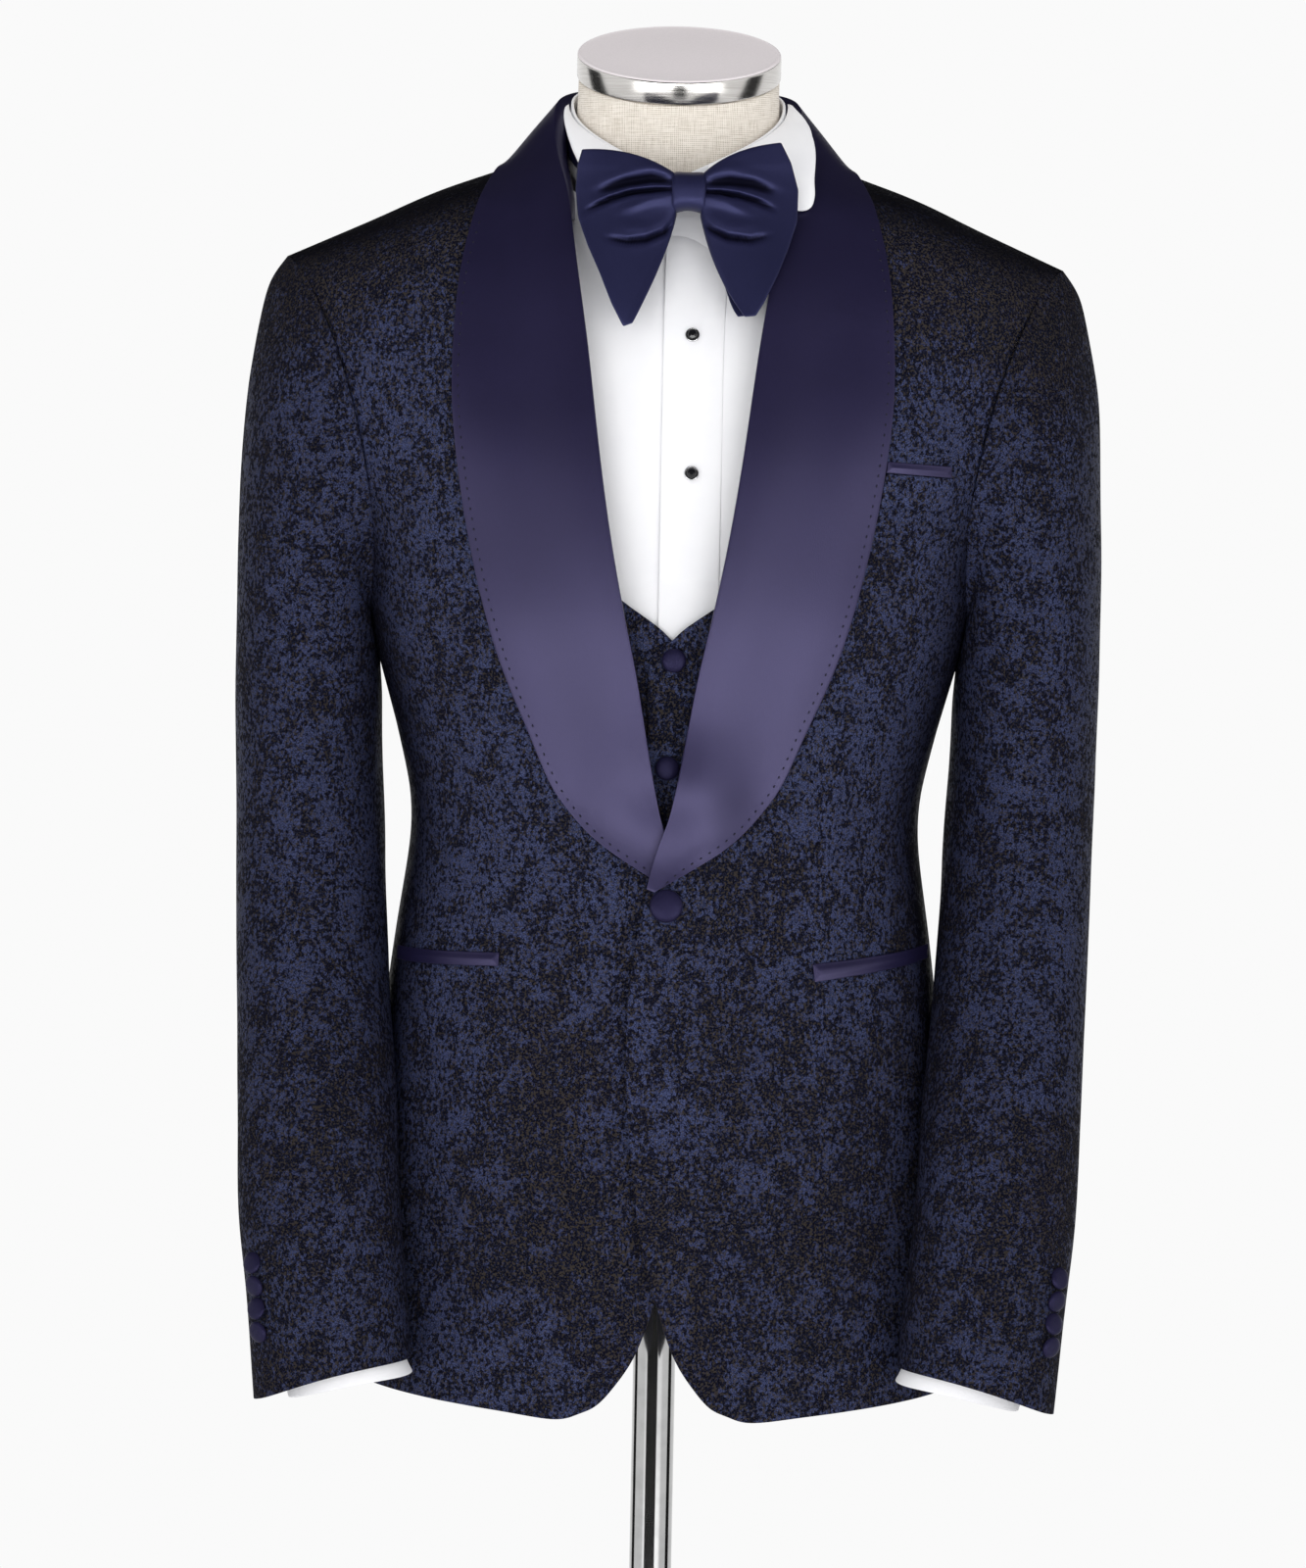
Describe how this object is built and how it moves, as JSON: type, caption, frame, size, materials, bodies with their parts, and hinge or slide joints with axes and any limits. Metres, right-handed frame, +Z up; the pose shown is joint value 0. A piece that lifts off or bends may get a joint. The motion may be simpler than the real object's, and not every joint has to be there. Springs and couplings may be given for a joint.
{
  "type": "tuxedo on a dress form stand",
  "caption": "Shawl-lapel dinner jacket, low-cut waistcoat, wing-collar dress shirt and bow tie, worn by a limbless dress form on a round-based stand.",
  "frame": {"origin": "on the floor at the middle of the base's underside, on the pole's axis", "axes": "+Z up, -Y the way the front faces, +X to the wearer's left"},
  "size_m": [0.5074, 0.36, 1.5552],
  "materials": {
    "jacquard": "navy and black figured jacquard, soft low sheen",
    "satin": "navy satin, broad soft sheen",
    "bow_satin": "navy satin, broad soft sheen",
    "shirt_cotton": "white cotton, matt",
    "stud_black": "black, polished",
    "linen": "natural linen, matt",
    "brushed_steel": "brushed",
    "chrome": "mirror bright"
  },
  "bodies": {
    "root": {"jacket_front_left": "jacquard", "jacket_front_right": "jacquard", "jacket_back_left": "jacquard", "jacket_back_right": "jacquard", "sleeve_left": "jacquard", "sleeve_right": "jacquard", "breast_welt": "jacquard", "vest_front_left": "jacquard", "vest_front_right": "jacquard", "vest_back": "jacquard", "lapel_left": "satin", "lapel_right": "satin", "breast_jet": "satin", "hip_jet_left": "satin", "hip_jet_right": "satin", "front_button": "satin", "vest_button_1": "satin", "vest_button_2": "satin", "cuff_button_left_1": "satin", "cuff_button_left_2": "satin", "cuff_button_left_3": "satin", "cuff_button_left_4": "satin", "cuff_button_right_1": "satin", "cuff_button_right_2": "satin", "cuff_button_right_3": "satin", "cuff_button_right_4": "satin", "bow_knot": "bow_satin", "bow_wing_left": "bow_satin", "bow_wing_right": "bow_satin", "neck_band": "bow_satin", "shirt_front_left": "shirt_cotton", "shirt_front_right": "shirt_cotton", "shirt_back": "shirt_cotton", "shirt_placket": "shirt_cotton", "shirt_sleeve_left": "shirt_cotton", "shirt_sleeve_right": "shirt_cotton", "shirt_cuff_left": "shirt_cotton", "shirt_cuff_right": "shirt_cotton", "collar_band": "shirt_cotton", "collar_wing_left": "shirt_cotton", "collar_wing_right": "shirt_cotton", "stud_upper": "stud_black", "stud_lower": "stud_black", "form_torso": "linen", "neck_cap": "brushed_steel", "stand_base": "brushed_steel", "stand_pole": "chrome"}
  },
  "joints": []
}
